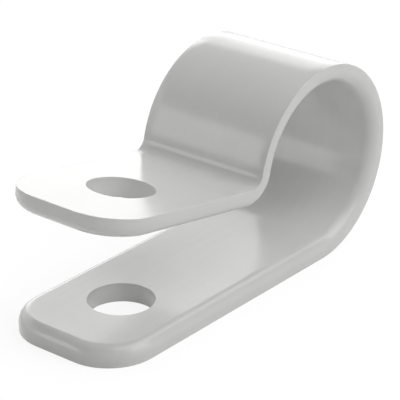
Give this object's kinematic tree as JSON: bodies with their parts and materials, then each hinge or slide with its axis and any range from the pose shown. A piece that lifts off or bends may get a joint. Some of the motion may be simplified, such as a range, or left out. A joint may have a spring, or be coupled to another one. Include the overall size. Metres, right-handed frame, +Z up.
{
  "type": "cable clamp",
  "caption": "P-shaped moulded cable clamp: a flat strap with a leg that takes a screw, a round loop that holds a cable, and a flared tab whose hole stands over the leg's hole.",
  "frame": {"origin": "on the axis of the screw hole in the leg, at the leg's underside", "axes": "+Z up, square to the leg; +X from the screw hole towards the cable loop; Y across the strap, along the cable"},
  "size_m": [0.0268, 0.0096, 0.0132],
  "materials": {
    "natural_nylon": "satin moulded nylon in its natural pale colour"
  },
  "bodies": {
    "root": {"clamp_strap": "natural_nylon"}
  },
  "joints": []
}
